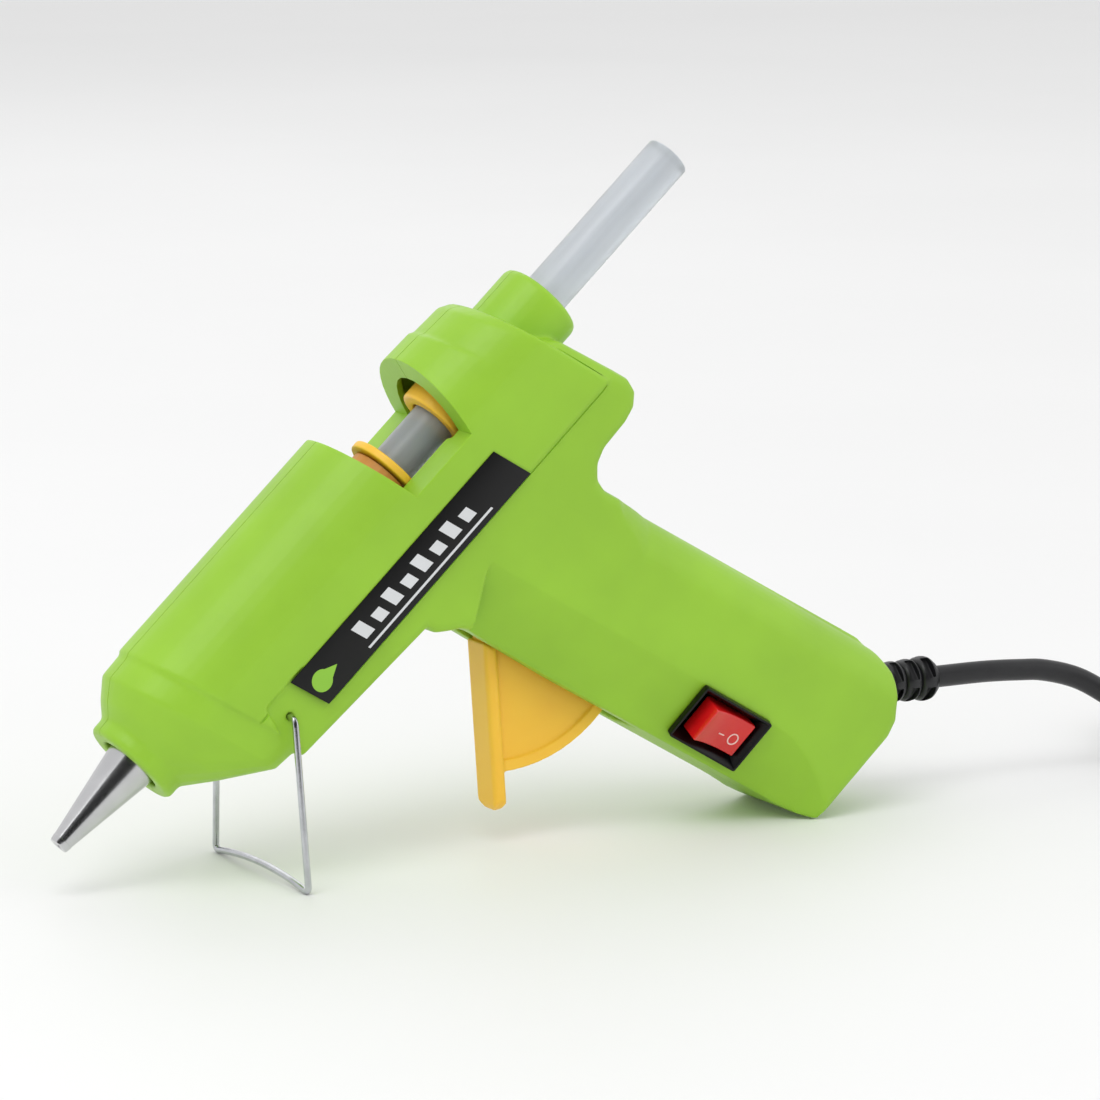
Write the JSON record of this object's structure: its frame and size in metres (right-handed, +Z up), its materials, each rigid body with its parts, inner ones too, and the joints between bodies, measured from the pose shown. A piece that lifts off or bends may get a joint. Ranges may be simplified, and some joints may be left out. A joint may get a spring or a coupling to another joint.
{
  "type": "hot melt glue gun",
  "caption": "Trigger-fed hot melt glue gun with a raked pistol grip, feed window, rocker switch, folding wire stand, glue stick and coiled mains cord.",
  "frame": {"origin": "centre of the gun's footprint on the floor, cord left out", "axes": "-X toward the nozzle, +Y across toward the side without the switch, +Z up; the gun stands on its wire stand and the butt's front corner"},
  "size_m": [0.3876, 0.081, 0.1658],
  "materials": {
    "green_plastic": "fine satin texture",
    "orange_plastic": "satin moulded",
    "black_plastic": "semi-gloss moulded",
    "black_label": "satin printed film",
    "red_plastic": "glossy moulded",
    "black_pvc": "satin flexible PVC",
    "brown_pvc": "satin",
    "blue_pvc": "satin",
    "bright_steel": "bright zinc plated",
    "nozzle_plating": "polished nickel plate",
    "cast_alloy": "as cast",
    "brass_strip": "stamped",
    "ptc_ceramic": "matt fired",
    "amber_film": "smooth film",
    "silicone": "matt",
    "hot_melt_glue": "translucent satin"
  },
  "bodies": {
    "frame": {"housing_left": "green_plastic", "housing_right": "green_plastic", "label_plate": "black_label", "nozzle": "nozzle_plating", "heating_chamber": "cast_alloy", "heater_sleeve": "amber_film", "heater_plate": "ptc_ceramic", "electrode_upper": "brass_strip", "electrode_lower": "brass_strip", "inlet_sleeve": "silicone", "guide_disc": "orange_plastic", "trigger_pin": "bright_steel", "return_spring": "bright_steel", "switch_body": "black_plastic", "switch_tab_1": "brass_strip", "switch_tab_2": "brass_strip", "strain_relief": "black_pvc", "lead_live": "brown_pvc", "lead_neutral": "blue_pvc", "lead_feed": "brown_pvc", "cord_clamp": "black_plastic", "cord_lead": "black_pvc", "cord_coil": "black_pvc", "cord_tie": "black_plastic", "cord_tail": "black_pvc", "plug_body": "black_pvc", "plug_pin_1": "bright_steel", "plug_pin_2": "bright_steel", "housing_screw_1": "bright_steel", "housing_screw_2": "bright_steel", "housing_screw_3": "bright_steel", "housing_screw_4": "bright_steel", "housing_screw_5": "bright_steel", "housing_screw_6": "bright_steel"},
    "trigger": {"trigger": "orange_plastic"},
    "feed_carriage": {"carriage": "orange_plastic", "clamp_lever": "bright_steel", "clamp_pin": "bright_steel", "push_link": "bright_steel"},
    "stick": {"glue_stick": "hot_melt_glue"},
    "rocker": {"switch_rocker": "red_plastic"},
    "stand": {"stand_wire": "bright_steel"}
  },
  "joints": [
    {"name": "trigger_pull", "type": "hinge", "parent": "frame", "child": "trigger", "pos_m": [-0.00488, 0, 0.05508], "axis": [0, -1, 0], "range_deg": [0, 24], "stiffness_Nm_per_rad": 0.9, "springref_deg": -20.05},
    {"name": "feed_slide", "type": "slide", "parent": "frame", "child": "feed_carriage", "axis": [-0.7318, 0, -0.6815], "range_m": [0, 0.0118]},
    {"name": "stick_feed", "type": "slide", "parent": "frame", "child": "stick", "axis": [-0.7318, 0, -0.6815], "range_m": [-0.12, 0.014]},
    {"name": "switch_throw", "type": "hinge", "parent": "frame", "child": "rocker", "pos_m": [0.04839, -0.01389, 0.02636], "axis": [-0.4739, 0.3987, -0.7851], "range_deg": [0, 28]},
    {"name": "stand_fold", "type": "hinge", "parent": "frame", "child": "stand", "pos_m": [-0.06779, 0, 0.04077], "axis": [0, -1, 0], "range_deg": [0, 109]}
  ],
  "couplings": [
    {"joint": "feed_slide", "follows": "trigger_pull", "m_per_rad": 0.02745}
  ]
}
